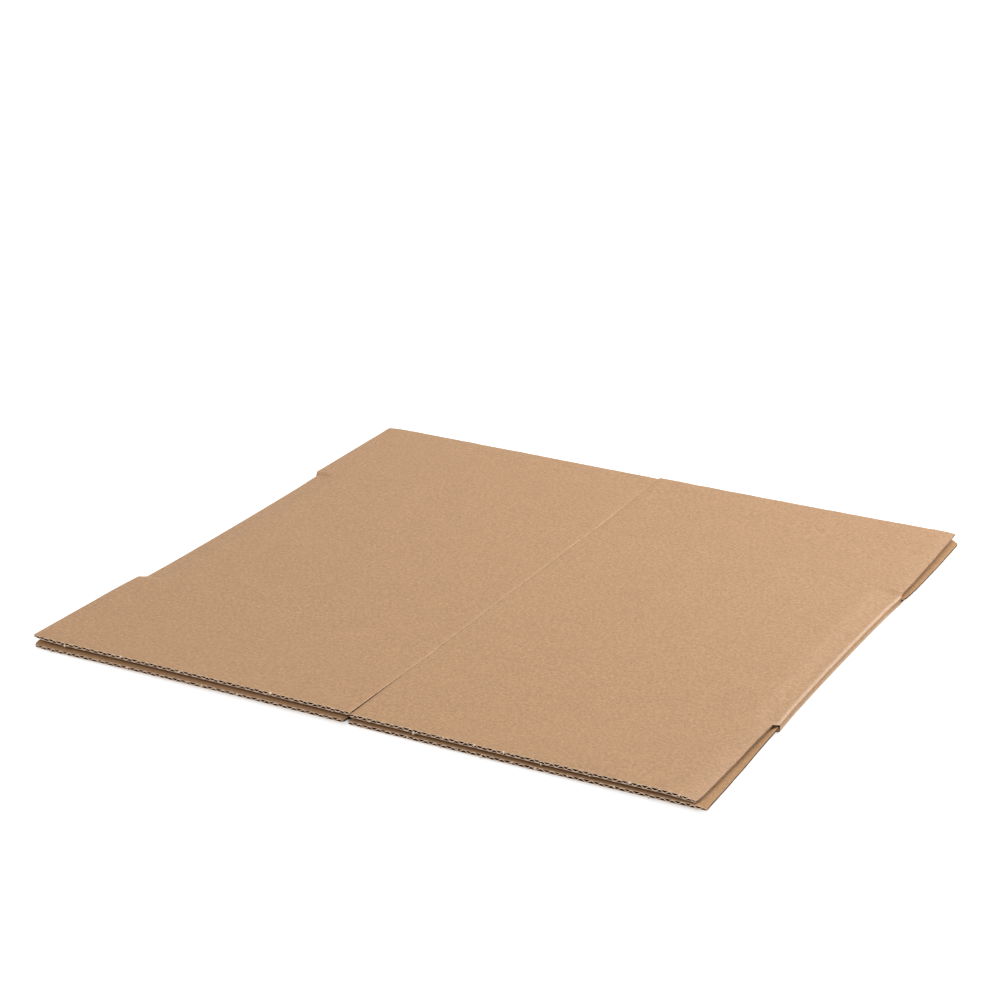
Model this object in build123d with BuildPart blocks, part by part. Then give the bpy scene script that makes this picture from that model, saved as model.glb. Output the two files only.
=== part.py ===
from build123d import *
import math
import os

os.makedirs("parts", exist_ok=True)

# A knocked-down regular slotted carton, lying flat: one sheet of single-wall corrugated board, folded
# over at its left and right sides and closed by a glue tab under the seam in its top face.
# X runs across the flutes, along the cut front edge. Y runs with the flutes, away from the viewer.
# Z is up, and the origin is under the middle of the carton, on the surface it lies on.

# Inside sizes of the carton once it is squared up: a 9 inch cube
inside_length = 228.6
inside_width = 228.6
inside_height = 228.6

# Allowances that a maker adds between creases, so that the inside comes out at those sizes
panel_allowance = 3.0
height_allowance = 5.0

# Corrugated board, B flute
board_thickness = 2.5
liner_thickness = 0.3
medium_thickness = 0.3
flute_pitch = 6.35
glue_line_width = 1.0

# Glue tab of the joint
tab_width = 34.0
tab_lap = 4.0
tab_end_taper = 12.0
tab_clearance = 1.0

# Cuts
seam_gap = 0.8
slot_width = 3.6
fold_side_inset = 0.4

# Strip beside each knife cut, where the knife has pressed the flutes shut
pressed_edge_width = 2.4
pressed_edge_thickness = 1.3

# Folded sides of the body
fold_height = 6.0
fold_board_thickness = 1.7
fold_run = 12.0

# Creases across the flutes, between flaps and body, and along them, in the middle of the lower layer
crease_width = 4.0
crease_depth = 0.2
score_width = 3.0
score_depth = 0.7

# Sizes that follow
length_panel = inside_length + panel_allowance
width_panel = inside_width + panel_allowance
body_height = inside_height + height_allowance
flap_length = (inside_width + panel_allowance) / 2
flat_width = length_panel + width_panel
flat_depth = body_height + 2 * flap_length

left_side = -flat_width / 2
right_side = flat_width / 2
seam_x = left_side + length_panel
score_x = left_side + width_panel

tab_bottom = board_thickness + tab_clearance
upper_bottom = tab_bottom + board_thickness
flat_thickness = upper_bottom + board_thickness

fold_radius = fold_height / 2
fold_inner_radius = fold_radius - fold_board_thickness
crease_y = body_height / 2
back_edge_y = flat_depth / 2


def pressed_board(start, end, bottom):
    """Section of a flap: a board whose two side edges taper to the pressed thickness."""
    pressed_bottom = bottom + (board_thickness - pressed_edge_thickness) / 2
    pressed_top = pressed_bottom + pressed_edge_thickness
    Polygon(
        (start, pressed_bottom),
        (start + pressed_edge_width, bottom),
        (end - pressed_edge_width, bottom),
        (end, pressed_bottom),
        (end, pressed_top),
        (end - pressed_edge_width, bottom + board_thickness),
        (start + pressed_edge_width, bottom + board_thickness),
        (start, pressed_top),
    )


def folded_side(side, outward):
    """Section of a fold: both boards are drawn in to a round nose that is lower than the flaps."""
    root = side - outward * fold_run
    nose = side - outward * fold_radius
    outer_drop = Spline(
        (root, flat_thickness),
        (nose, fold_height),
        tangents=[(outward, 0), (outward, 0)],
    )
    outer_nose = CenterArc((nose, fold_radius), fold_radius, 90, -outward * 180)
    outer_floor = Line(outer_nose @ 1, (root, 0))
    lower_root = Line(outer_floor @ 1, (root, board_thickness))
    inner_floor = Line(lower_root @ 1, (nose, fold_board_thickness))
    inner_nose = CenterArc((nose, fold_radius), fold_inner_radius, -90, outward * 180)
    inner_drop = Spline(
        inner_nose @ 1,
        (root, upper_bottom),
        tangents=[(-outward, 0), (-outward, 0)],
    )
    Line(inner_drop @ 1, outer_drop @ 0)


def flute_hole(above):
    """Outline of the space beside one wave of the medium, above the wave's trough or below its crest."""
    half_core = board_thickness / 2 - liner_thickness
    wave_height = half_core - medium_thickness / 2
    steepest = math.atan(2 * math.pi * wave_height / flute_pitch)
    at_liner = flute_pitch / 2 - glue_line_width / 2
    at_middle = flute_pitch / 4 - medium_thickness / 2 / math.sin(steepest)
    at_trough = flute_pitch / 12
    up = 1 if above else -1
    Polygon(
        (-at_liner, up * half_core),
        (-at_middle, 0),
        (-at_trough, -up * (half_core - medium_thickness)),
        (at_trough, -up * (half_core - medium_thickness)),
        (at_middle, 0),
        (at_liner, up * half_core),
    )


def flute_holes(start, outward, first, last, bottom):
    """Holes of the waves first to last of a board, counted outward from the cut at start."""
    middle = bottom + board_thickness / 2
    waves = [start + outward * (wave + 0.5) * flute_pitch for wave in range(first, last)]
    crests = [wave - outward * flute_pitch / 2 for wave in waves[(1 if first == 0 else 0):]]
    with Locations(*[(wave, middle) for wave in waves]):
        flute_hole(above=True)
    with Locations(*[(crest, middle) for crest in crests]):
        flute_hole(above=False)


# Four layers of panel, each with the place of its inner cut, the way out from there to its fold, its
# width, and the height of its underside
slot_inset = slot_width / 2
seam_inset = seam_gap / 2
layers = [
    (seam_x, -1, length_panel, seam_inset, upper_bottom),
    (seam_x, 1, width_panel, seam_inset, upper_bottom),
    (score_x, -1, width_panel, slot_inset, 0),
    (score_x, 1, length_panel, slot_inset, 0),
]


def waves_that_fit(width):
    """Whole waves of the medium that fit into a width of board."""
    return math.floor(width / flute_pitch)


with BuildPart() as flattened_carton:
    # Body: the lower layer right across, and the upper layer in two panels that meet at the seam
    with BuildSketch(Plane.XZ.offset(-crease_y)):
        with BuildLine():
            folded_side(left_side, -1)
        make_face()
        with BuildLine():
            folded_side(right_side, 1)
        make_face()
        Polygon(
            (left_side + fold_run, 0),
            (right_side - fold_run, 0),
            (right_side - fold_run, board_thickness),
            (left_side + fold_run, board_thickness),
        )
        for fold_root, cut in (
            (left_side + fold_run, seam_x - seam_inset),
            (right_side - fold_run, seam_x + seam_inset),
        ):
            Polygon(
                (fold_root, upper_bottom),
                (cut, upper_bottom),
                (cut, flat_thickness),
                (fold_root, flat_thickness),
            )
    extrude(amount=body_height)

    # Glue tab: goes on from the right panel and lies stuck under the left one, with tapered ends
    with BuildSketch(Plane.XY.offset(tab_bottom)):
        Polygon(
            (seam_x + tab_lap, -crease_y),
            (seam_x + tab_lap, crease_y),
            (seam_x, crease_y),
            (seam_x - tab_width, crease_y - tab_end_taper),
            (seam_x - tab_width, -crease_y + tab_end_taper),
            (seam_x, -crease_y),
        )
    extrude(amount=board_thickness)

    # Flaps: two in the upper layer and two in the lower one, at the front and at the back
    for flap_start in (crease_y, -crease_y - flap_length):
        with BuildSketch(Plane.XZ.offset(flap_start)):
            for cut, outward, width, inset, bottom in layers:
                near = cut + outward * inset
                far = cut + outward * (width - fold_side_inset)
                pressed_board(min(near, far), max(near, far), bottom)
        extrude(amount=flap_length)

    # Creases that the flaps turn on, pressed into the outside of the board
    for face in (0, flat_thickness - crease_depth):
        with BuildSketch(Plane.XY.offset(face)):
            with GridLocations(0, 2 * crease_y, 1, 2):
                Rectangle(flat_width, crease_width)
        extrude(amount=crease_depth, mode=Mode.SUBTRACT)

    # Score between the two lower panels, which stays unfolded in the flat carton
    with BuildSketch(Plane.XZ.offset(-crease_y)):
        Polygon(
            (score_x - score_width / 2, 0),
            (score_x + score_width / 2, 0),
            (score_x, score_depth),
        )
    extrude(amount=body_height, mode=Mode.SUBTRACT)

    # Flutes that run from the back edge to the front one, through flaps and body
    with BuildSketch(Plane.XZ.offset(-back_edge_y)):
        for cut, outward, width, inset, bottom in layers:
            start = inset + pressed_edge_width
            body_waves = waves_that_fit(width - start - fold_run)
            flute_holes(cut + outward * start, outward, 0, body_waves, bottom)
        tab_start = seam_x - pressed_edge_width
        flute_holes(tab_start, -1, 0, waves_that_fit(tab_width - 2 * pressed_edge_width), tab_bottom)
    extrude(amount=flat_depth, mode=Mode.SUBTRACT)

    # Flutes beyond the fold's root, which the flaps have and the drawn-in body doesn't
    for flap_start in (crease_y, -crease_y - flap_length):
        with BuildSketch(Plane.XZ.offset(flap_start)):
            for cut, outward, width, inset, bottom in layers:
                start = inset + pressed_edge_width
                body_waves = waves_that_fit(width - start - fold_run)
                flap_waves = waves_that_fit(width - start - fold_side_inset - pressed_edge_width)
                flute_holes(cut + outward * start, outward, body_waves, flap_waves, bottom)
        extrude(amount=flap_length, mode=Mode.SUBTRACT)

flattened_carton.part.label = "flattened_carton"
export_step(flattened_carton.part, "parts/flattened_carton.step")
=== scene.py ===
import math
import random
from collections import namedtuple

import bpy
from mathutils import Matrix, Vector, noise


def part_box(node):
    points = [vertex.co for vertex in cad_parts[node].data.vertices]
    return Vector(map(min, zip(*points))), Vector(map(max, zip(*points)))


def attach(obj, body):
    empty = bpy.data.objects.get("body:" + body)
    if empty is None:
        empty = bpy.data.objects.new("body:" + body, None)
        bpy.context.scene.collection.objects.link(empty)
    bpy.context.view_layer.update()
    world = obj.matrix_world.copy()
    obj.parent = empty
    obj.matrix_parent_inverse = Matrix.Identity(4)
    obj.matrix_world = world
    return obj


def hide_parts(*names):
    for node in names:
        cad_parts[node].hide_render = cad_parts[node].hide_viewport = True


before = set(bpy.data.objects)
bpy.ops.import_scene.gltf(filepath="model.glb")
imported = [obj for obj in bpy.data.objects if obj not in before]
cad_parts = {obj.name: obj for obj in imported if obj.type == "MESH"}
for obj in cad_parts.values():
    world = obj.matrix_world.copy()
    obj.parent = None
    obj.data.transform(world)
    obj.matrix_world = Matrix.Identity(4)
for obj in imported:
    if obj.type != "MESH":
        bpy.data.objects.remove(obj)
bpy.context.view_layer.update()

# A knocked-down corrugated carton, lying flat. Its board is modelled as the three papers that it is
# made of: an outer and an inner liner, and the fluted medium between them. Each paper is first made
# as the flat blank, ruled, slotted and given its thickness. Then it is folded up into the carton.
# X runs across the flutes and Y along them, as in the frame. Sizes are in metres, angles in radians.

mm = 0.001
tolerance = 0.01 * mm
carton_low, carton_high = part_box("flattened_carton")
half_width = carton_high.x
half_depth = carton_high.y
flat_height = carton_high.z
across_flutes = Vector((1, 0, 0))
along_flutes = Vector((0, 1, 0))

# Corrugated board, B flute. A wave's height is that of the middle of the medium, so at a crest the
# other half of the medium and a liner still lie over it.
board = 2.5 * mm
paper = 0.25 * mm
liner_height = board / 2 - paper / 2
pitch = 6.35 * mm
wave_height = board / 2 - 1.5 * paper
sag_between_flutes = 0.04 * mm

# The knife raises a burr on each paper. Near the cut the board is crushed a little, the flutes lean,
# and the papers' edges are ragged: they wander in and out, and curl up and down by a share of that.
liner_burr = 0.29 * mm
medium_burr = 0.43 * mm
burr_reach = 2.5 * mm
crushed_share = 0.12
crushed_size = 14 * mm
leaning_flutes = 0.9 * mm
leaning_reach = 7 * mm
leaning_size = 9 * mm
ragged_liner = 0.2 * mm
ragged_medium = 0.35 * mm
ragged_size = 3.5 * mm
curled_share = 0.5

# Seeds: one for each paper and for the torn fibres, and one for each noise
outer_liner_seed = 1.5
inner_liner_seed = 21.5
medium_seed = 41.5
tuft_seed = 7
leaning_seed = 0
crushed_seed = 5
curled_seed = 9
ragged_seed = 13
wander_seed = 3.5

# Flaps and cuts. The body lies a little further back than the middle of the flaps' ends. The slots in
# the lower layer, and the score between them, lie a little to the left of the seam.
flap_length = 115.8 * mm
crease = half_depth - flap_length
body_shift = 1.35 * mm
crease_reach = 2.0 * mm
crease_dip = 0.12 * mm
seam_inset = 0.07 * mm
slot_inset = 0.8 * mm
slot_shift = 2.0 * mm
slot_past_crease = 4.0 * mm
slot_end = crease - slot_past_crease
side_inset = 0.4 * mm
flap_side = half_width - side_inset
press_reach = 1.7 * mm
press_depth = 0.55 * mm
pressed_cut = 0.2 * mm
crush_reach = 12 * mm
crush_depth = 0.6 * mm
score_reach = 1.5 * mm
score_depth = 0.7 * mm

# Glue tab, and the shoulder that drops to it from the right panel
tab_reach = 34 * mm
tab_taper = 12 * mm
shoulder_foot = -0.4 * mm
shoulder_top = 0.8 * mm

# Folded sides: both boards are drawn in to a nose with a ridge above its crease line and one below.
# The left fold lies a little further in, and both are bowed in between the notches.
fold_past_side = 0.15 * mm
fold_inset = {"left": 1.9 * mm, "right": 0}
fold_bow = {"left": 1.5 * mm, "right": 1.8 * mm}
nose_reach = 3.3 * mm
nose_start = half_width + fold_past_side - nose_reach
nose_path = 8.2 * mm
nose_top = 7.0 * mm
nose_middle = 4.1 * mm
nose_bottom = 0.2 * mm
nose_squareness = {"upper": 2.3, "lower": 4.5}
nose_dent = 0.5 * mm
dent_angle = 0.35
# Along the two ridges of each fold the paper is painted pale: partly scuffed fibres, partly a painted
# highlight. On the lower ridge it is painted strongest and set up towards the nose's middle, where the
# light catches it.
ridge_highlight_angle = {"upper": math.radians(45), "lower": math.radians(30)}
ridge_reach = 0.4 * mm
ridge_wear_and_highlight = {"upper": 0.2, "lower": 1.0}
hollow_top = 5.1 * mm
hollow_bottom = 2.3 * mm
hollow_reach = 1.2 * mm
crushed_in_fold = 0.6
drop_run = 20 * mm
fold_root = nose_start - drop_run
fold_length = nose_path + 2 * drop_run

# Beside the slots, the upper flaps part slowly from the fold's shape, and the lower ones quickly
ramp_lead = 0.3 * mm
ramp_start = slot_end - ramp_lead
ramp_run = {"upper": 6.0 * mm, "lower": 1.5 * mm}

# Heights of the faces of each layer
floor_clearance = 0.03 * mm
upper_outer = flat_height
upper_inner = upper_outer - board
lower_outer = carton_low.z + floor_clearance
lower_inner = lower_outer + board

# Places across the flat blank, counted from the free end of the glue tab
seam = tab_reach
right_root = seam + fold_root
right_fold_end = right_root + fold_length
lower_middle = right_fold_end + fold_root
score = lower_middle + slot_shift
left_root = lower_middle + fold_root
left_fold_end = left_root + fold_length
blank_width = left_fold_end + fold_root - seam_inset
right_fold_middle = (right_root + right_fold_end) / 2
left_fold_middle = (left_root + left_fold_end) / 2
side_from_root = flap_side - fold_root

# The four flaps at each end, as spans of the blank from cut to cut
flap_spans = [
    (seam + seam_inset, right_root + side_from_root),
    (right_fold_end - side_from_root, score - slot_inset),
    (score + slot_inset, left_root + side_from_root),
    (left_fold_end - side_from_root, blank_width),
]

# How finely the papers are ruled: steps to a wave, to the shoulder, and down to each nose and round it,
# and rows along the flutes, which lie closer in the ramps, after the crease and before the cut end
columns_per_wave = 8
shoulder_steps = 5
drop_steps = 14
nose_steps = 24
liner_row = 18 * mm
liner_ramp_steps = 4
medium_row = 38 * mm
medium_ramp_steps = 2
first_flap_row = crease + 3 * crease_reach
end_rows = [gap * mm for gap in (0.4, 1, 2, 3.5, 5.5, 8)]

# How each flap has settled, in millimetres: the lift of its free edge by the seam or slot, and by the
# fold; how far it has spread sideways, and how far its side is bent up or down, each at the crease and
# at the free edge; and how far the free edge reaches past the others. The last value is an exponent:
# how the spread grows on the way from the crease to the free edge.
spread_curve = 0.4
Lie = namedtuple("Lie", "by_seam by_fold spread bent reach curve", defaults=[spread_curve])
settled = {
    ("upper", "left", "front"): Lie(1.3, -0.2, (0, -2.7), (0, 0.9), 0),
    ("upper", "right", "front"): Lie(0.2, 1.9, (-3.0, -3.3), (-0.5, -1.9), 0),
    ("lower", "left", "front"): Lie(2.6, 0.8, (0, -2.2), (0.2, 0.5), 2.4),
    ("lower", "right", "front"): Lie(1.1, 3.15, (-0.3, 2.9), (2.8, -0.25), 0, 1.0),
    ("upper", "left", "back"): Lie(1.2, 0.6, (0, -0.8), (-0.1, -0.3), 0),
    ("upper", "right", "back"): Lie(2.3, 4.0, (0, 0.2), (0, 0), 0),
    ("lower", "left", "back"): Lie(0.5, 0.3, (0, -1.0), (0.2, 0.4), 0.6),
    ("lower", "right", "back"): Lie(0.6, 4.4, (1.7, 4.4), (2.8, 1.2), 0),
}
lift_curve = 1.5
bent_reach = 24 * mm
wander = 0.3 * mm
wander_size = 22 * mm

# Three flaps have knocked corners, which are pushed in and curl down by half as much
knocked_corners = {
    ("upper", "right", "front"): 1.2 * mm,
    ("lower", "left", "front"): 1.5 * mm,
    ("lower", "right", "back"): 2.8 * mm,
}
corner_reach = 8 * mm

# Torn fibres: crumbs of paper that the knife has pulled out of the cut edges. Their heights are shares
# of the way from the middle of the board to a liner.
tuft_radius = 1.0 * mm
tuft_roughness = 0.22
tuft_reach = 0.4 * mm
tuft_gap = {"upper": (18 * mm, 50 * mm), "lower": (9 * mm, 30 * mm)}
tuft_to_side = 2 * mm
tuft_heights = (-0.85, -0.5, 0, 0.5, 0.7)
tuft_size = (0.55, 1.15)
tuft_flatness = (0.5, 0.8)

# Look of the paper: a fine grain, clumps of fibres, and faint clouds, each with its share in the tone.
# The real grain is about 0.1 mm, and is drawn as coarse as it needs to be to show in the render.
Pattern = namedtuple("Pattern", "size weight roughness")
paper_patterns = {
    "grain": Pattern(0.75 * mm, 1, 0.7),
    "mottle": Pattern(2.2 * mm, 0.55, 0.5),
    "clouds": Pattern(16 * mm, 0.08, 0.5),
}
pattern_detail = 2.0
relief_height = 0.05 * mm
relief_strength = 0.35
paper_ior = 1.5
smooth_angle = math.radians(50)

# Specks of bark and of pale fibre, about half a millimetre across, at most one to each cell. A cell
# shows its speck where its random number is above faint_from, and in full strength above full_from.
Specks = namedtuple("Specks", "cell faint_from full_from strength")
bark_specks = Specks(3.6 * mm, 0.5, 0.8, 0.7)
fibre_specks = Specks(3.1 * mm, 0.6, 0.8, 0.45)
bark_colour = "#5d3f28"
speck_core = 0.2 * mm
speck_edge = 0.5 * mm

# Deep shade inside the flutes, which begins just behind the cut
shade_colour = "#210a02"
shade_start = 0.2 * mm
shade_full = 0.8 * mm
shade_strength = 0.97

# Bare fibres on the cut faces, and on the fold's ridges scuffed fibres with a painted highlight, fewer
# where the grain is low
cut_face_reach = 0.3 * mm
scuff_and_highlight_strength = 0.6
low_grain = 0.3
high_grain = 0.6
bare_at_low_grain = 0.6


def clamp(value):
    """The value held between 0 and 1."""
    return min(max(value, 0), 1)


def smooth(share):
    """An even S from 0 to 1."""
    share = clamp(share)
    return share * share * (3 - 2 * share)


def mix(start, end, share):
    """A value or a point between two others."""
    return start + (end - start) * share


def rough(place, size, seed):
    """Even noise between about -1 and 1, with lumps of one size."""
    return noise.noise(Vector((place[0] / size, place[1] / size, seed)))


def set_camera():
    """Camera at the photograph's angle, distance and lens, for a frame of 1000 x 1000."""
    target = Vector((-84.5 * mm, 134.6 * mm, flat_height))
    azimuth = math.radians(26.39)
    elevation = math.radians(21.04)
    roll = math.radians(1.49)
    distance = 1.9297
    focal_pixels = 2626.2
    frame_pixels = 1000
    sensor_width = 36
    turn = (
        Matrix.Rotation(azimuth, 4, "Z")
        @ Matrix.Rotation(math.pi / 2 - elevation, 4, "X")
        @ Matrix.Rotation(roll, 4, "Z")
    )
    place = target + turn.to_3x3() @ Vector((0, 0, distance))
    bpy.ops.object.camera_add(location=place, rotation=turn.to_euler())
    camera = bpy.context.object
    camera.data.sensor_width = sensor_width
    camera.data.lens = sensor_width * focal_pixels / frame_pixels
    bpy.context.scene.camera = camera


# Section of the folded body and of the flaps, as points of the outer and the inner face
def nose_section(path):
    """The nose of the right fold, at a distance along its path from above."""
    angle = math.pi * (0.5 - path / nose_path)
    up = math.sin(angle)
    squareness = nose_squareness["upper" if up > 0 else "lower"]
    out = max(1 - abs(up) ** squareness, 0) ** (1 / squareness)
    dent = nose_dent * math.exp(-((angle / dent_angle) ** 2))
    far = nose_top if up > 0 else nose_bottom
    outer = Vector((nose_start + nose_reach * out - dent, mix(nose_middle, far, abs(up))))
    inner = Vector((
        nose_start + hollow_reach * math.cos(angle),
        (hollow_top + hollow_bottom) / 2 + (hollow_top - hollow_bottom) / 2 * up,
    ))
    return outer, inner


def fold_section(share):
    """The right fold, from its root in the upper layer, at 0, to the one in the lower layer, at 1."""
    distance = share * fold_length
    if distance < drop_run:
        drawn_in = smooth(distance / drop_run)
        x = fold_root + distance
        outer = Vector((x, mix(upper_outer, nose_top, drawn_in)))
        inner = Vector((x, mix(upper_inner, hollow_top, drawn_in)))
        return outer, inner
    if distance > fold_length - drop_run:
        drawn_in = smooth((fold_length - distance) / drop_run)
        x = fold_root + fold_length - distance
        outer = Vector((x, mix(lower_outer, nose_bottom, drawn_in)))
        inner = Vector((x, mix(lower_inner, hollow_bottom, drawn_in)))
        return outer, inner
    return nose_section(distance - drop_run)


def body_section(across):
    """Outer and inner face of the body, at a place across the blank."""
    if across < right_root:
        x = across - seam
        drop = board * (1 - smooth((x - shoulder_foot) / (shoulder_top - shoulder_foot)))
        return Vector((x, upper_outer - drop)), Vector((x, upper_inner - drop))
    if across < right_fold_end:
        return fold_section((across - right_root) / fold_length)
    if across < left_root:
        x = lower_middle - across
        dent = score_depth * clamp(1 - abs(across - score) / score_reach)
        return Vector((x, lower_outer + dent)), Vector((x, lower_inner))
    if across < left_fold_end:
        outer, inner = fold_section(1 - (across - left_root) / fold_length)
        return Vector((-outer.x, outer.y)), Vector((-inner.x, inner.y))
    x = across - left_fold_end - fold_root
    pressed = press_depth * clamp(1 - (abs(x) - seam_inset) / press_reach)
    return Vector((x, upper_outer - pressed)), Vector((x, upper_inner + pressed))


def flap_section(across):
    """Outer and inner face of a flap, at a place across the blank: its sides are pressed thinner."""
    if across < right_fold_middle:
        x = min(across - seam, flap_side)
        from_cut = abs(x) - seam_inset
        outer, inner = upper_outer, upper_inner
    elif across < left_fold_middle:
        x = min(max(lower_middle - across, -flap_side), flap_side)
        from_cut = abs(across - score) - slot_inset
        outer, inner = lower_outer, lower_inner
    else:
        x = max(across - left_fold_end - fold_root, -flap_side)
        from_cut = abs(x) - seam_inset
        outer, inner = upper_outer, upper_inner
    pressed = press_depth * clamp(1 - from_cut / press_reach)
    crushed = crush_depth * clamp(1 - (flap_side - abs(x)) / crush_reach) ** 2
    inwards = math.copysign(pressed + crushed, inner - outer)
    return Vector((x, outer + inwards)), Vector((x, inner - inwards))


# From the flat blank to the folded carton
def flap_name(across, along):
    """Layer, side and end of the flap that a place on the blank belongs to or is nearest to."""
    layer = "lower" if right_fold_middle < across < left_fold_middle else "upper"
    side = "right" if across < score else "left"
    end = "front" if along < 0 else "back"
    return layer, side, end


def settle(point, flap, out, as_flap):
    """Moves a flap's point as the flap has come to lie. Out is 0 at the crease and 1 at the end."""
    lie = settled[flap]
    from_middle = clamp(abs(point.x) / half_width)
    by_side = clamp(1 - (flap_side - abs(point.x)) / bent_reach) ** 2
    lift = mix(lie.by_seam, lie.by_fold, from_middle**2) * out**lift_curve
    bend = mix(*lie.bent, out) * by_side * as_flap
    spread = mix(*lie.spread, out**lie.curve) * mm
    spread += wander * rough((point.y, lie.by_seam * mm), wander_size, wander_seed) * by_side
    from_side = clamp(1 - (flap_side - abs(point.x)) / corner_reach)
    from_end = clamp(1 - (1 - out) * flap_length / corner_reach)
    pushed = knocked_corners.get(flap, 0) * (from_side * from_end) ** 2
    point.x += spread * from_middle * as_flap - math.copysign(pushed, point.x)
    point.y += math.copysign(1, point.y) * (lie.reach * out * mm - pushed)
    point.z += (lift + bend) * mm - pushed / 2


def folded_place(across, along, height):
    """Where a place on the flat blank comes to lie in the folded carton."""
    share = 0.5 + height / board
    flap = flap_name(across, along)
    layer, side, _ = flap
    as_flap = smooth((abs(along) - ramp_start) / ramp_run[layer])
    body_outer, body_inner = body_section(across)
    flap_outer, flap_inner = flap_section(across)
    folded = mix(mix(body_inner, body_outer, share), mix(flap_inner, flap_outer, share), as_flap)
    point = Vector((folded.x, along, folded.y))
    by_fold = smooth((abs(point.x) - fold_root) / (nose_start - fold_root))
    bowed = math.sqrt(max(math.cos(math.pi / 2 * clamp(abs(along) / slot_end)), 0))
    drawn_in = fold_inset[side] * (1 - as_flap) + fold_bow[side] * bowed
    point.x -= math.copysign(drawn_in * by_fold, point.x)
    out = clamp((abs(along) - crease) / flap_length)
    if as_flap > 0:
        settle(point, flap, out, as_flap)
    point.y += body_shift * (1 - out)
    return point


def distance_to_cut(across, along):
    """How far a place on the blank is from the nearest cut edge, but more from the pressed slots."""
    from_end = half_depth - abs(along)
    from_joint = blank_width - across
    if abs(along) < slot_end - tolerance:
        return min(across, from_joint)
    by_joint = min(abs(across - seam), from_joint) < press_reach
    for start, end in flap_spans:
        if start - tolerance < across < end + tolerance:
            from_side = max(min(across - start, end - across), 0)
            return min(from_end, from_side if by_joint else from_side + pressed_cut)
    return from_end


def scuff_and_highlight(across, along):
    """How much a fold is scuffed, with a painted highlight, along its two ridges."""
    if abs(along) >= slot_end + tolerance:
        return 0
    layer, side, _ = flap_name(across, along)
    fold_middle = right_fold_middle if side == "right" else left_fold_middle
    from_ridge = abs(across - fold_middle) - nose_path * ridge_highlight_angle[layer] / math.pi
    return ridge_wear_and_highlight[layer] * math.exp(-((from_ridge / ridge_reach) ** 2))


def crush_by_cut(across, along, height, seed, ragged, leaning):
    """Crushes the board near the knife cut, leans its flutes and makes the papers' edges ragged."""
    from_end = half_depth - abs(along)
    near_end = clamp(1 - from_end / leaning_reach) ** 2
    if not near_end:
        return across, along, height
    end = math.copysign(1, along)
    leaned = leaning * near_end * rough((across, seed), leaning_size, end + leaning_seed)
    crushed = 1 + rough((across, 0), crushed_size, end + crushed_seed)
    curled = rough((across, seed), leaning_size, end + curled_seed)
    height *= 1 - near_end * crushed_share * crushed
    height += ragged * near_end * curled_share * curled
    along += ragged * near_end * rough((across, seed), ragged_size, end + ragged_seed)
    across = min(max(across + leaned, 0), blank_width)
    return across, along, height


def fold_up(sheet, middle_height, seed, ragged, leaning):
    """Folds a flat paper up into the carton, and marks its cuts, its ridges' scuffs and painted
    highlights, and its flute side.
    """
    cuts = []
    scuffs_and_highlights = []
    insides = []
    for vertex in sheet.data.vertices:
        across, along, height = vertex.co
        cuts.append(distance_to_cut(across, along))
        scuffs_and_highlights.append(scuff_and_highlight(across, along))
        insides.append(1 if (height - middle_height) * middle_height <= 0 else 0)
        across, along, height = crush_by_cut(across, along, height, seed, ragged, leaning)

        # The liners hang a little between the flutes that they are glued to
        phase = math.cos(2 * math.pi * across / pitch) * math.copysign(1, height)
        height *= 1 - sag_between_flutes / board * (1 - phase)

        # The glue tab's ends are cut at a slant
        x_on_tab = across - seam
        if x_on_tab < 0:
            along *= 1 + tab_taper / crease * x_on_tab / tab_reach

        # The crease between flap and body is pressed into the outside of the board
        from_crease = abs(abs(along) - crease)
        if height > 0:
            height -= crease_dip * smooth(1 - from_crease / crease_reach)

        vertex.co = folded_place(across, along, height)
    for name, values in (("from_cut", cuts), ("scuff_and_highlight", scuffs_and_highlights), ("inside", insides)):
        mark = sheet.data.attributes.new(name, "FLOAT", "POINT")
        mark.data.foreach_set("value", values)
    sheet.data.update()


# The flat blank of one paper
def lay_sheet(name, length, height):
    """Half of a flat sheet, behind the middle of the carton, at its height in the board."""
    bpy.ops.object.select_all(action="DESELECT")
    bpy.ops.mesh.primitive_plane_add(size=1)
    sheet = bpy.context.object
    sheet.name = name
    bpy.ops.object.mode_set(mode="EDIT")
    bpy.ops.transform.resize(value=(length, half_depth, 1))
    bpy.ops.transform.translate(value=(length / 2, half_depth / 2, height))
    return sheet


def rule(places, normal):
    """Rules lines on the sheet that is being edited, square to the normal."""
    for place in places:
        bpy.ops.mesh.select_all(action="SELECT")
        bpy.ops.mesh.bisect(plane_co=place * normal, plane_no=normal)


def cut_lines():
    """Lines along the flutes where the flaps' sides, slots and tab are cut."""
    return [line for span in flap_spans for line in span if line < blank_width]


def press_lines():
    """Lines where the flaps' sides begin to be pressed thin."""
    lines = []
    for start, end in flap_spans:
        lines += [start + press_reach, end - press_reach]
    return lines


def flute_lines():
    """Lines at each crest and trough of the flutes, apart from the folds and the shoulder."""
    lines = [turn * pitch / 2 for turn in range(1, math.floor(2 * blank_width / pitch) + 1)]
    busy = [
        (seam + shoulder_foot, seam + shoulder_top),
        (right_root, right_fold_end),
        (left_root, left_fold_end),
    ]
    return [line for line in lines if not any(start < line < end for start, end in busy)]


def bend_lines():
    """Lines close enough together for the folds, the shoulder and the score to come out round."""
    steps = range(shoulder_steps + 1)
    lines = [seam + mix(shoulder_foot, shoulder_top, step / shoulder_steps) for step in steps]
    for start in (right_root, left_root):
        nose = start + drop_run
        nose_end = nose + nose_path
        end = start + fold_length
        lines += [mix(start, nose, step / drop_steps) for step in range(drop_steps)]
        lines += [mix(nose, nose_end, step / nose_steps) for step in range(nose_steps)]
        lines += [mix(nose_end, end, step / drop_steps) for step in range(drop_steps + 1)]
    lines += [score - score_reach, score, score + score_reach]
    return lines


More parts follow.
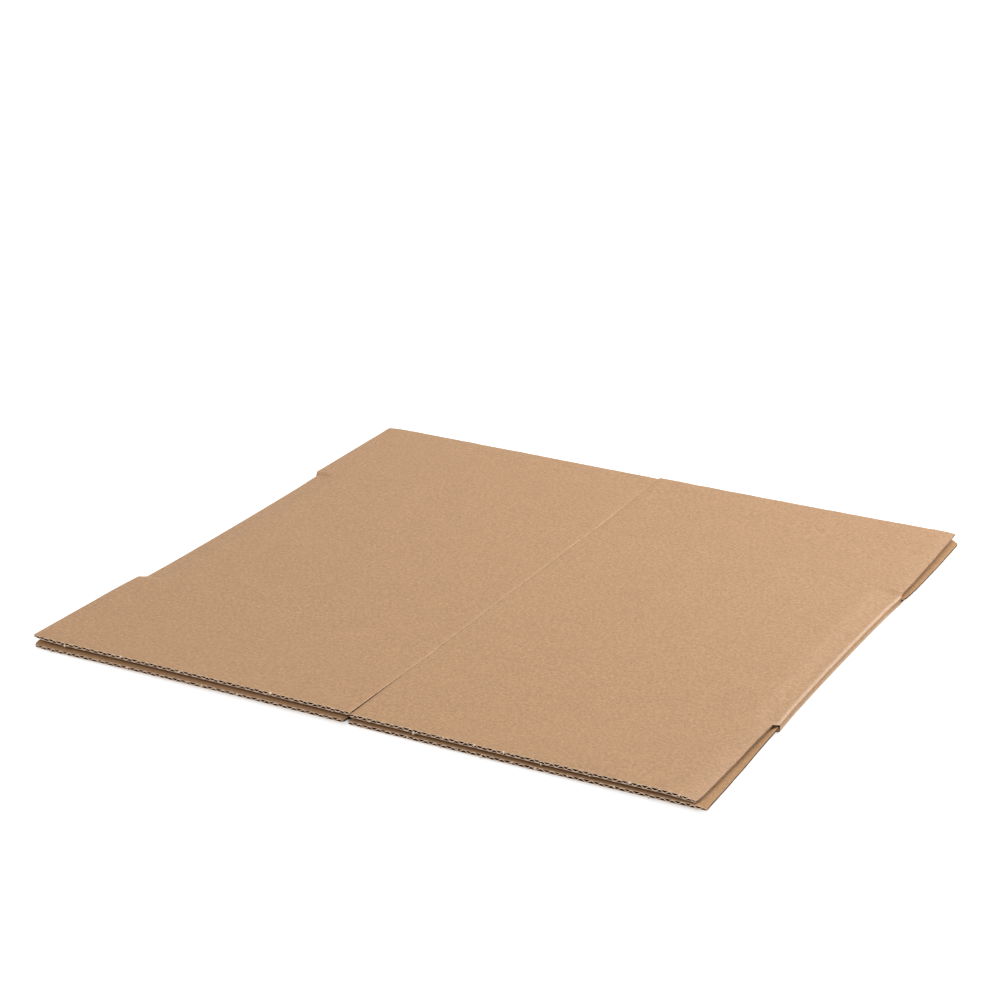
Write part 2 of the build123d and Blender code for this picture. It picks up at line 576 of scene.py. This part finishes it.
def rows(inner_step, ramp_steps):
    """Lines across the flutes: evenly spaced, and closer in the ramps, at the crease and the cut end."""
    lines = [inner_step * step for step in range(1, math.floor(ramp_start / inner_step))]
    quick, slow = sorted(ramp_run.values())
    lines += [ramp_start + quick * step / ramp_steps for step in range(ramp_steps + 1)]
    lines += [ramp_start + mix(quick, slow, (step + 1) / ramp_steps) for step in range(ramp_steps)]
    lines += [slot_end, crease - crease_reach, crease, crease + crease_reach]
    flap_rows = math.ceil((half_depth - first_flap_row) / inner_step)
    lines += [mix(first_flap_row, half_depth, step / flap_rows) for step in range(flap_rows)]
    lines += [half_depth - gap for gap in end_rows]
    return lines


def cut_slots(sheet):
    """Takes out the slots between the flaps, and all of the blank that lies beyond the tab's ends."""
    starts = [start for start, _ in flap_spans]
    ends = [0] + [end for _, end in flap_spans[:-1]]
    bpy.ops.mesh.select_all(action="DESELECT")
    bpy.ops.object.mode_set(mode="OBJECT")
    for face in sheet.data.polygons:
        across, along, _ = face.center
        in_slot = any(end < across < start for end, start in zip(ends, starts))
        face.select = in_slot and along > slot_end
    bpy.ops.object.mode_set(mode="EDIT")
    bpy.ops.mesh.delete(type="FACE")
    bpy.ops.object.mode_set(mode="OBJECT")


def mirror_blank(sheet):
    """Mirrors the half blank to a whole one."""
    bpy.ops.object.modifier_add(type="MIRROR")
    mirror = sheet.modifiers[-1]
    mirror.use_axis = (False, True, False)
    mirror.merge_threshold = tolerance
    bpy.ops.object.modifier_apply(modifier=mirror.name)


def thicken(sheet, burr):
    """Gives the paper its thickness, with a burr at the cut end."""
    cut_end = sheet.vertex_groups.new(name="cut_end")
    for vertex in sheet.data.vertices:
        near = clamp(1 - (half_depth - abs(vertex.co.y)) / burr_reach)
        cut_end.add([vertex.index], near, "REPLACE")
    bpy.ops.object.modifier_add(type="SOLIDIFY")
    solidify = sheet.modifiers[-1]
    solidify.thickness = burr
    solidify.offset = 0
    solidify.use_even_offset = True
    solidify.vertex_group = cut_end.name
    solidify.thickness_vertex_group = paper / burr
    bpy.ops.object.modifier_apply(modifier=solidify.name)


def shape_wave(medium):
    """Bends a sheet, one pitch wide, into one wave."""
    columns = [pitch * step / columns_per_wave for step in range(1, columns_per_wave)]
    rule(columns, across_flutes)
    bpy.ops.object.mode_set(mode="OBJECT")
    for vertex in medium.data.vertices:
        vertex.co.z = wave_height * math.cos(2 * math.pi * vertex.co.x / pitch)


def repeat_wave(medium):
    """Repeats the wave across the blank, and cuts it off at the blank's side."""
    bpy.ops.object.modifier_add(type="ARRAY")
    array = medium.modifiers[-1]
    array.count = math.ceil(blank_width / pitch)
    array.use_merge_vertices = True
    array.merge_threshold = tolerance
    bpy.ops.object.modifier_apply(modifier=array.name)
    bpy.ops.object.mode_set(mode="EDIT")
    bpy.ops.mesh.select_all(action="SELECT")
    bpy.ops.mesh.bisect(plane_co=(blank_width, 0, 0), plane_no=across_flutes, clear_outer=True)


def crush_in_folds(medium):
    """Makes the waves lower where the body is folded."""
    for vertex in medium.data.vertices:
        across, along, _ = vertex.co
        from_fold = min(abs(across - right_fold_middle), abs(across - left_fold_middle))
        in_fold = smooth(1 - (from_fold - nose_path / 2) / drop_run)
        in_body = smooth((crease - along) / (crease - slot_end))
        vertex.co.z *= 1 - crushed_in_fold * in_fold * in_body


# The pieces
def finish_piece(piece, material):
    """Smooths a piece, gives it its finish and ties it to the frame."""
    bpy.ops.object.select_all(action="DESELECT")
    piece.select_set(True)
    bpy.context.view_layer.objects.active = piece
    bpy.ops.object.shade_smooth_by_angle(angle=smooth_angle)
    piece.data.materials.append(material)
    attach(piece, "root")
    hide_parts("flattened_carton")


def make_liner(name, height, seed, material):
    """One liner: a smooth paper on the outside or the inside of the board."""
    liner = lay_sheet(name, blank_width, height)
    rule(cut_lines() + press_lines() + flute_lines() + bend_lines(), across_flutes)
    rule(rows(liner_row, liner_ramp_steps), along_flutes)
    cut_slots(liner)
    mirror_blank(liner)
    thicken(liner, liner_burr)
    fold_up(liner, height, seed, ragged=ragged_liner, leaning=0)
    finish_piece(liner, material)


def make_medium(name, seed, material):
    """The fluted medium: one wave is shaped, and repeated across the blank."""
    medium = lay_sheet(name, pitch, 0)
    shape_wave(medium)
    repeat_wave(medium)
    rule(cut_lines(), across_flutes)
    rule(rows(medium_row, medium_ramp_steps), along_flutes)
    cut_slots(medium)
    crush_in_folds(medium)
    mirror_blank(medium)
    thicken(medium, medium_burr)
    fold_up(medium, 0, seed, ragged=ragged_medium, leaning=leaning_flutes)
    finish_piece(medium, material)


def make_lump(name, seed):
    """A small uneven lump of torn paper."""
    bpy.ops.object.select_all(action="DESELECT")
    bpy.ops.mesh.primitive_ico_sphere_add(subdivisions=2, radius=tuft_radius)
    lump = bpy.context.object
    lump.name = name
    bpy.ops.object.mode_set(mode="EDIT")
    bpy.ops.transform.vertex_random(offset=tuft_roughness * tuft_radius, seed=seed)
    bpy.ops.object.mode_set(mode="OBJECT")
    return lump


def tuft_places(chance):
    """Places at uneven gaps along the cut ends."""
    places = []
    for end in (-1, 1):
        outwards = Vector((0, end * tuft_reach, 0))
        for start, stop in flap_spans:
            layer, _, _ = flap_name((start + stop) / 2, end)
            gap = tuft_gap[layer]
            across = start + chance.uniform(*gap) / 2
            while across < stop - tuft_to_side:
                height = chance.choice(tuft_heights) * (board / 2 - paper)
                places.append(folded_place(across, end * half_depth, height) + outwards)
                across += chance.uniform(*gap)
    return places


def make_torn_fibres(name, seed, material):
    """Crumbs of torn paper along the cut ends, each a copy of one small lump."""
    chance = random.Random(seed)
    lump = make_lump(name, seed)
    places = tuft_places(chance)
    tufts = [lump]
    for _ in places[1:]:
        tuft = lump.copy()
        tuft.data = lump.data.copy()
        bpy.context.collection.objects.link(tuft)
        tufts.append(tuft)
    for tuft, place in zip(tufts, places):
        size = chance.uniform(*tuft_size)
        tuft.location = place
        tuft.rotation_euler = [chance.uniform(0, math.tau) for _ in range(3)]
        flattened = [size * chance.uniform(*tuft_flatness) for _ in range(2)]
        tuft.scale = (size, *flattened)
        tuft.select_set(True)
    bpy.context.view_layer.objects.active = lump
    bpy.ops.object.join()
    bpy.ops.object.transform_apply(location=True, rotation=True, scale=True)

    # With its marks left at 0, a crumb is bare fibre all over, and unshaded
    for mark in ("from_cut", "scuff_and_highlight", "inside"):
        lump.data.attributes.new(mark, "FLOAT", "POINT")
    finish_piece(lump, material)


# Finishes
def linear(hex_colour):
    """An sRGB hex colour as the linear values that a shader takes."""
    channels = [int(hex_colour[start:start + 2], 16) / 255 for start in (1, 3, 5)]
    return *[c / 12.92 if c <= 0.04045 else ((c + 0.055) / 1.055) ** 2.4 for c in channels], 1


def add_node(tree, kind, inputs, **settings):
    """Adds a node with its settings, and sets or links its inputs."""
    node = tree.nodes.new(kind)
    for name, value in settings.items():
        setattr(node, name, value)
    for name, value in inputs.items():
        if isinstance(value, bpy.types.NodeSocket):
            tree.links.new(value, node.inputs[name])
        else:
            node.inputs[name].default_value = value
    return node


def new_material(name):
    """An empty material."""
    material = bpy.data.materials.new(name)
    material.use_nodes = True
    material.node_tree.nodes.clear()
    return material


def plain_paper(tree, place, dark, light, contrast):
    """Colour, relief and grain of clean paper: an even grain, a faint mottle and fainter clouds."""
    noises = {}
    for name, pattern in paper_patterns.items():
        noises[name] = add_node(
            tree,
            "ShaderNodeTexNoise",
            {
                "Vector": place,
                "Scale": 1 / pattern.size,
                "Detail": pattern_detail,
                "Roughness": pattern.roughness,
            },
        ).outputs["Fac"]
    mottle_weight = paper_patterns["mottle"].weight
    cloud_weight = paper_patterns["clouds"].weight
    relief = add_node(
        tree,
        "ShaderNodeMath",
        {0: noises["mottle"], 1: mottle_weight, 2: noises["grain"]},
        operation="MULTIPLY_ADD",
    ).outputs[0]
    tone = add_node(
        tree,
        "ShaderNodeMath",
        {0: noises["clouds"], 1: cloud_weight, 2: relief},
        operation="MULTIPLY_ADD",
    ).outputs[0]
    mean_tone = 0.5 * sum(pattern.weight for pattern in paper_patterns.values())
    shade = add_node(
        tree,
        "ShaderNodeMapRange",
        {"Value": tone, "From Min": mean_tone - 0.5 / contrast, "From Max": mean_tone + 0.5 / contrast},
    ).outputs["Result"]
    colour = add_node(
        tree, "ShaderNodeMix", {0: shade, 6: linear(dark), 7: linear(light)}, data_type="RGBA"
    ).outputs[2]
    return colour, relief, noises["grain"]


def add_specks(tree, place, colour, specks, tint):
    """Round specks of a tint, over the paper's colour."""
    cells = add_node(tree, "ShaderNodeTexVoronoi", {"Vector": place, "Scale": 1 / specks.cell})
    spot = add_node(
        tree,
        "ShaderNodeMapRange",
        {
            "Value": cells.outputs["Distance"],
            "From Min": speck_core / specks.cell,
            "From Max": speck_edge / specks.cell,
            "To Min": 1.0,
            "To Max": 0.0,
        },
    ).outputs["Result"]
    strength = add_node(
        tree,
        "ShaderNodeMapRange",
        {
            "Value": cells.outputs["Color"],
            "From Min": specks.faint_from,
            "From Max": specks.full_from,
            "To Min": 0.0,
            "To Max": specks.strength,
        },
    ).outputs["Result"]
    shown = add_node(tree, "ShaderNodeMath", {0: spot, 1: strength}, operation="MULTIPLY").outputs[0]
    return add_node(
        tree, "ShaderNodeMix", {0: shown, 6: colour, 7: linear(tint)}, data_type="RGBA"
    ).outputs[2]


def shade_flutes(tree, colour, from_cut):
    """Inside the flutes the paper is as dark as deep shade makes it look."""
    inside = add_node(tree, "ShaderNodeAttribute", {}, attribute_name="inside").outputs["Fac"]
    deep = add_node(
        tree,
        "ShaderNodeMapRange",
        {"Value": from_cut, "From Min": shade_start, "From Max": shade_full, "To Max": shade_strength},
    ).outputs["Result"]
    shaded = add_node(tree, "ShaderNodeMath", {0: deep, 1: inside}, operation="MULTIPLY").outputs[0]
    return add_node(
        tree, "ShaderNodeMix", {0: shaded, 6: colour, 7: linear(shade_colour)}, data_type="RGBA"
    ).outputs[2]


def bare_fibres_and_ridge_highlights(tree, colour, from_cut, grain, fibre_and_highlight):
    """Pale fibres at the cuts, and along the ridges scuffed fibres with a painted highlight, patchy with
    the grain.
    """
    scuffed_and_highlit = add_node(tree, "ShaderNodeAttribute", {}, attribute_name="scuff_and_highlight").outputs["Fac"]
    cut_face = add_node(
        tree,
        "ShaderNodeMapRange",
        {"Value": from_cut, "From Min": 0.0, "From Max": cut_face_reach, "To Min": 1.0, "To Max": 0.0},
    ).outputs["Result"]
    bare_and_highlit = add_node(
        tree,
        "ShaderNodeMath",
        {0: scuffed_and_highlit, 1: scuff_and_highlight_strength, 2: cut_face},
        operation="MULTIPLY_ADD",
        use_clamp=True,
    ).outputs[0]
    patchy = add_node(
        tree,
        "ShaderNodeMapRange",
        {"Value": grain, "From Min": low_grain, "From Max": high_grain, "To Min": bare_at_low_grain},
    ).outputs["Result"]
    pale = add_node(tree, "ShaderNodeMath", {0: bare_and_highlit, 1: patchy}, operation="MULTIPLY").outputs[0]
    return add_node(
        tree, "ShaderNodeMix", {0: pale, 6: colour, 7: linear(fibre_and_highlight)}, data_type="RGBA"
    ).outputs[2]


def make_paper(name, dark, light, fibre_and_highlight, roughness, specular, contrast):
    """Unbleached paper: matt, with an even grain, a faint mottle of fibre clumps and small specks."""
    material = new_material(name)
    tree = material.node_tree
    place = add_node(tree, "ShaderNodeTexCoord", {}).outputs["Object"]
    colour, relief, grain = plain_paper(tree, place, dark, light, contrast)
    for specks, tint in ((bark_specks, bark_colour), (fibre_specks, fibre_and_highlight)):
        colour = add_specks(tree, place, colour, specks, tint)
    from_cut = add_node(tree, "ShaderNodeAttribute", {}, attribute_name="from_cut").outputs["Fac"]
    colour = shade_flutes(tree, colour, from_cut)
    colour = bare_fibres_and_ridge_highlights(tree, colour, from_cut, grain, fibre_and_highlight)
    bump = add_node(
        tree,
        "ShaderNodeBump",
        {"Height": relief, "Strength": relief_strength, "Distance": relief_height},
    ).outputs["Normal"]
    surface = add_node(
        tree,
        "ShaderNodeBsdfPrincipled",
        {
            "Base Color": colour,
            "Roughness": roughness,
            "IOR": paper_ior,
            "Specular IOR Level": specular,
            "Normal": bump,
        },
    ).outputs["BSDF"]
    add_node(tree, "ShaderNodeOutputMaterial", {"Surface": surface})
    return material


# The studio
def distance_outside(tree):
    """How far a place on the floor lies outside the carton's outline, and below 0 under the carton."""
    place = add_node(tree, "ShaderNodeTexCoord", {}).outputs["Object"]
    apart = add_node(tree, "ShaderNodeSeparateXYZ", {"Vector": place})
    beyond = []
    for axis, half_size in (("X", half_width), ("Y", half_depth)):
        from_middle = add_node(
            tree, "ShaderNodeMath", {0: apart.outputs[axis]}, operation="ABSOLUTE"
        ).outputs[0]
        past_side = add_node(
            tree, "ShaderNodeMath", {0: from_middle, 1: half_size}, operation="SUBTRACT"
        ).outputs[0]
        beyond.append(past_side)
    return add_node(
        tree, "ShaderNodeMath", {0: beyond[0], 1: beyond[1]}, operation="MAXIMUM"
    ).outputs[0]


def make_floor_white():
    """Matt white paper. To the camera it also glows a little, but not under the carton."""
    glow_starts = -9 * mm
    glow_full = -4 * mm
    near = 0.3
    far = 1.5
    near_glow = 0.7
    far_glow = 0.77
    material = new_material("floor_white")
    tree = material.node_tree
    matt = add_node(tree, "ShaderNodeBsdfDiffuse", {"Color": linear("#d2d2d2")}).outputs["BSDF"]
    outside = distance_outside(tree)
    open_floor = add_node(
        tree, "ShaderNodeMapRange", {"Value": outside, "From Min": glow_starts, "From Max": glow_full}
    ).outputs["Result"]
    seen = add_node(tree, "ShaderNodeLightPath", {}).outputs["Is Camera Ray"]
    lit = add_node(tree, "ShaderNodeMath", {0: seen, 1: open_floor}, operation="MULTIPLY").outputs[0]
    level = add_node(
        tree,
        "ShaderNodeMapRange",
        {"Value": outside, "From Min": near, "From Max": far, "To Min": near_glow, "To Max": far_glow},
    ).outputs["Result"]
    strength = add_node(tree, "ShaderNodeMath", {0: lit, 1: level}, operation="MULTIPLY").outputs[0]
    glow = add_node(tree, "ShaderNodeEmission", {"Strength": strength}).outputs["Emission"]
    surface = add_node(tree, "ShaderNodeAddShader", {0: matt, 1: glow}).outputs["Shader"]
    add_node(tree, "ShaderNodeOutputMaterial", {"Surface": surface})
    return material


def make_floor():
    """A plain white floor, which keeps the carton's shadow."""
    floor_size = 40
    bpy.ops.object.select_all(action="DESELECT")
    bpy.ops.mesh.primitive_plane_add(size=floor_size)
    floor = bpy.context.object
    floor.name = "floor"
    floor.data.materials.append(make_floor_white())


def make_room():
    """A room that is white to the camera and in reflections, and lights the carton weakly."""
    room_light = 0.38
    world = bpy.data.worlds.new("studio")
    bpy.context.scene.world = world
    world.use_nodes = True
    tree = world.node_tree
    tree.nodes.clear()
    rays = add_node(tree, "ShaderNodeLightPath", {})
    seen = add_node(
        tree,
        "ShaderNodeMath",
        {0: rays.outputs["Is Camera Ray"], 1: rays.outputs["Is Glossy Ray"]},
        operation="MAXIMUM",
    ).outputs[0]
    strength = add_node(
        tree, "ShaderNodeMapRange", {"Value": seen, "To Min": room_light, "To Max": 1.0}
    ).outputs["Result"]
    room = add_node(
        tree, "ShaderNodeBackground", {"Color": (1, 1, 1, 1), "Strength": strength}
    ).outputs["Background"]
    add_node(tree, "ShaderNodeOutputWorld", {"Surface": room})


def add_softbox(name, place, size, power):
    """A large square lamp that faces the middle of the carton."""
    turn = (-Vector(place)).to_track_quat("-Z", "Y").to_euler()
    bpy.ops.object.light_add(type="AREA", location=place, rotation=turn)
    lamp = bpy.context.object
    lamp.name = name
    lamp.data.size = size
    lamp.data.energy = power


bpy.context.scene.view_settings.view_transform = "Standard"
set_camera()

# Kraft linerboard, brown and calendered smooth: a dull soft sheen over an even golden tan
# Its pale fibre colour also paints the scuffs and highlights along the fold's ridges
kraft_liner = make_paper(
    "kraft_liner",
    dark="#906b47",
    light="#c89d73",
    fibre_and_highlight="#ebcaa6",
    roughness=0.55,
    specular=0.5,
    contrast=1.7,
)
# Inside liner of recycled paper: rougher, a little paler and greyer than the outside
inner_liner_paper = make_paper(
    "inner_liner_paper",
    dark="#9c7752",
    light="#cea680",
    fibre_and_highlight="#ebccb0",
    roughness=0.8,
    specular=0.05,
    contrast=1.5,
)
# Fluting medium of recycled paper: soft, greyish brown, with pale pinkish fibres where it is cut
fluting_paper = make_paper(
    "fluting_paper",
    dark="#86654c",
    light="#b69276",
    fibre_and_highlight="#ffe0c8",
    roughness=0.9,
    specular=0.05,
    contrast=1.5,
)
# Torn paper fibres: loose, matt and much paler than the pressed faces of the paper
torn_paper = make_paper(
    "torn_paper",
    dark="#dcbc9c",
    light="#f4e0c8",
    fibre_and_highlight="#f0d8be",
    roughness=0.95,
    specular=0.2,
    contrast=1.2,
)

make_liner("outer_liner", liner_height, outer_liner_seed, kraft_liner)
make_liner("inner_liner", -liner_height, inner_liner_seed, inner_liner_paper)
make_medium("fluted_medium", medium_seed, fluting_paper)
make_torn_fibres("torn_fibres", tuft_seed, torn_paper)

# A white studio, with a soft lamp above and behind on the right and a weaker one in front
make_floor()
make_room()
add_softbox("back_softbox", place=(0.85, 1.2, 0.95), size=1.2, power=34)
add_softbox("front_softbox", place=(-0.1, -1.83, 1.5), size=1.2, power=20)
